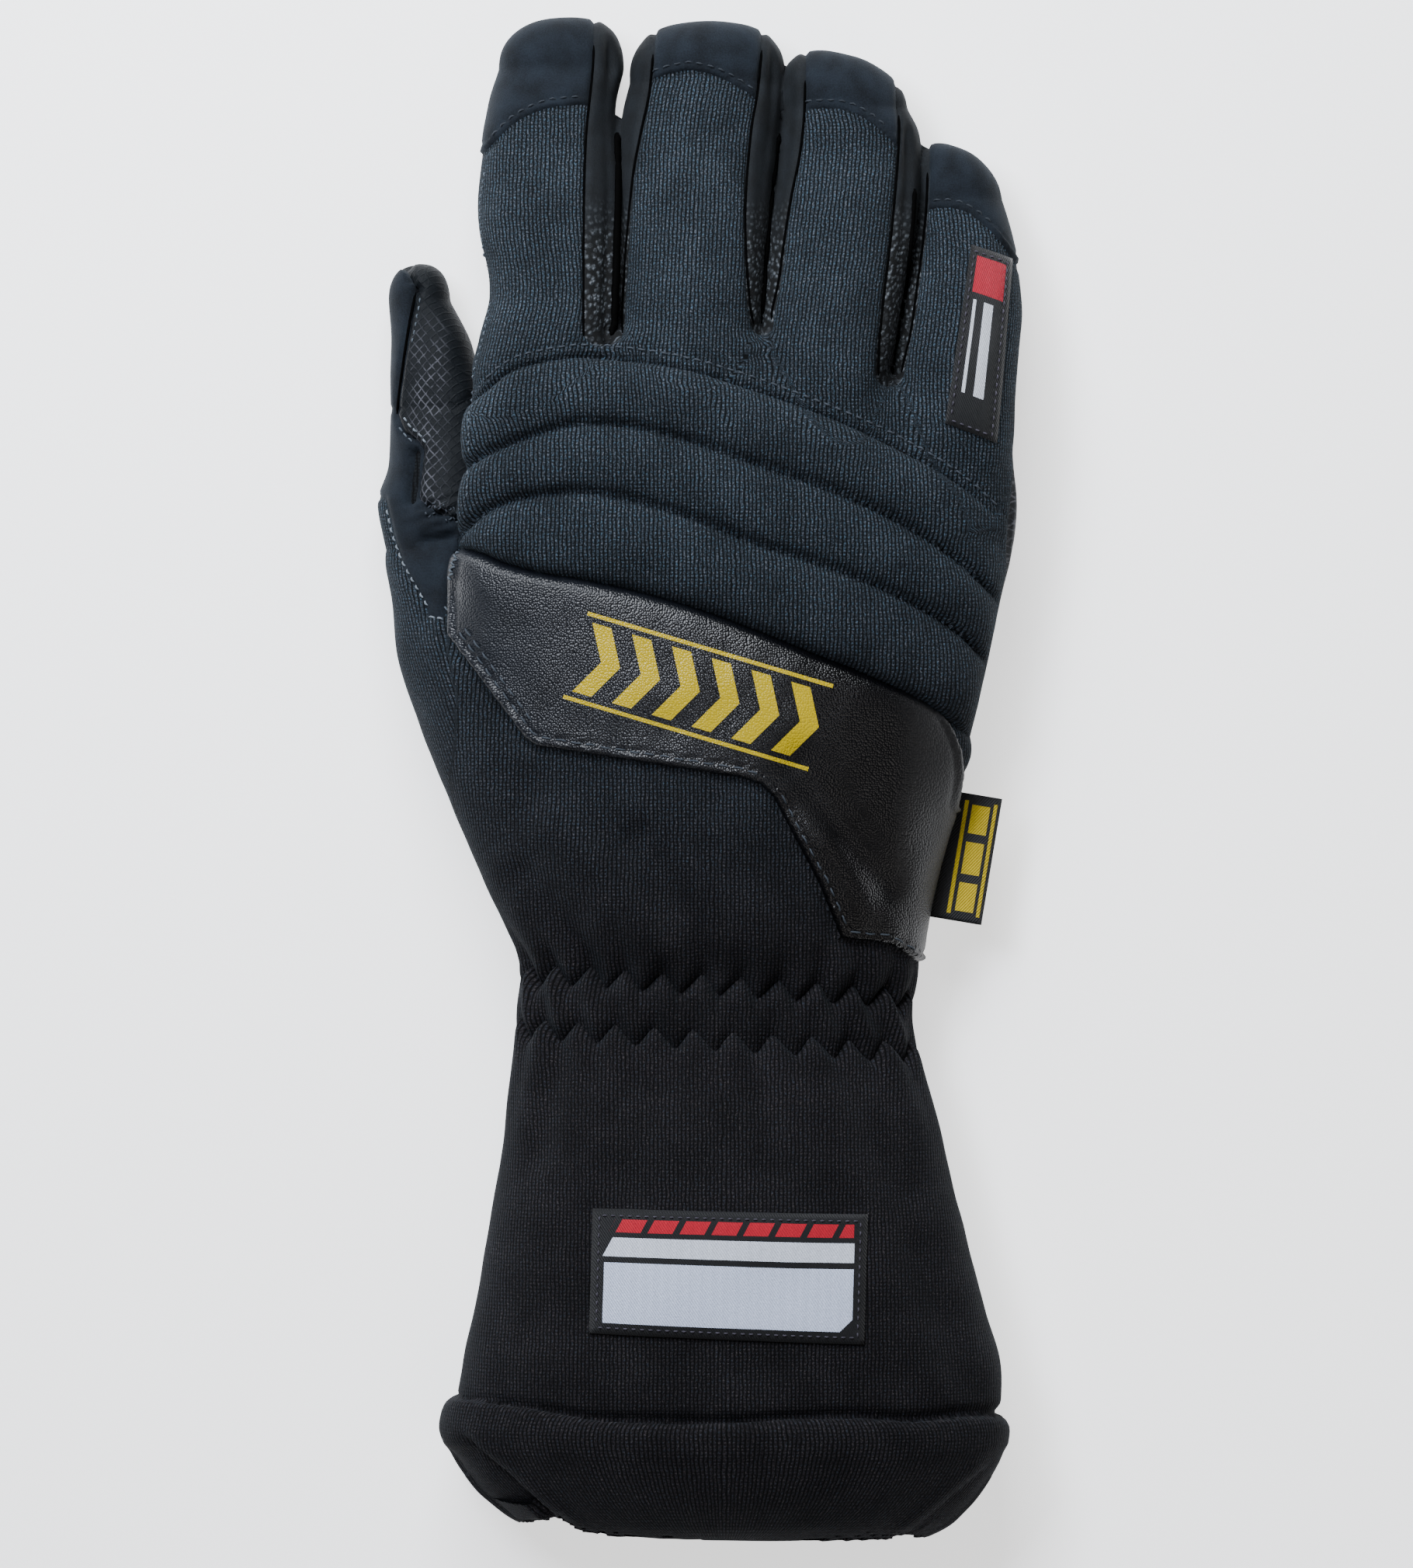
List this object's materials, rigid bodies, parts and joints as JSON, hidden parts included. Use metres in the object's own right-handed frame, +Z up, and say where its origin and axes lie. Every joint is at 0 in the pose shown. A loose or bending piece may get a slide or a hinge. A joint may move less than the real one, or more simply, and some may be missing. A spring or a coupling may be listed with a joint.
{
  "type": "fire-resistant glove",
  "caption": "Black heat-protective work glove with a padded knuckle panel, leather palm, gathered wrist and a long flared cuff.",
  "frame": {"origin": "on the surface the glove lies on, under the middle of the glove seen from above", "axes": "+Z up out of the back of the hand, +Y from the cuff to the fingertips, +X to the little finger side"},
  "size_m": [0.146, 0.35, 0.0512],
  "materials": {
    "knit": "fine vertical rib knit, matt charcoal",
    "suede": "brushed suede, matt",
    "grip_leather": "embossed grip pattern, low sheen",
    "smooth_leather": "pebbled grain, soft sheen",
    "woven_black": "woven ribbon, matt",
    "woven_silver": "woven twill, slight sheen"
  },
  "bodies": {
    "root": {"back_panel": "knit", "palm_panel": "grip_leather", "side_panel_index_middle": "suede", "side_panel_middle_ring": "suede", "side_panel_ring_little": "suede", "tip_cap_index": "suede", "tip_cap_middle": "suede", "tip_cap_ring": "suede", "tip_cap_little": "suede", "thumb_leather": "grip_leather", "thumb_gusset": "suede", "thumb_base": "knit", "knuckle_pad": "knit", "leather_patch": "smooth_leather", "gathered_wrist": "knit", "cuff": "knit", "rolled_hem": "knit", "cuff_label": "woven_silver", "finger_label": "woven_black", "side_tag": "woven_black"}
  },
  "joints": []
}
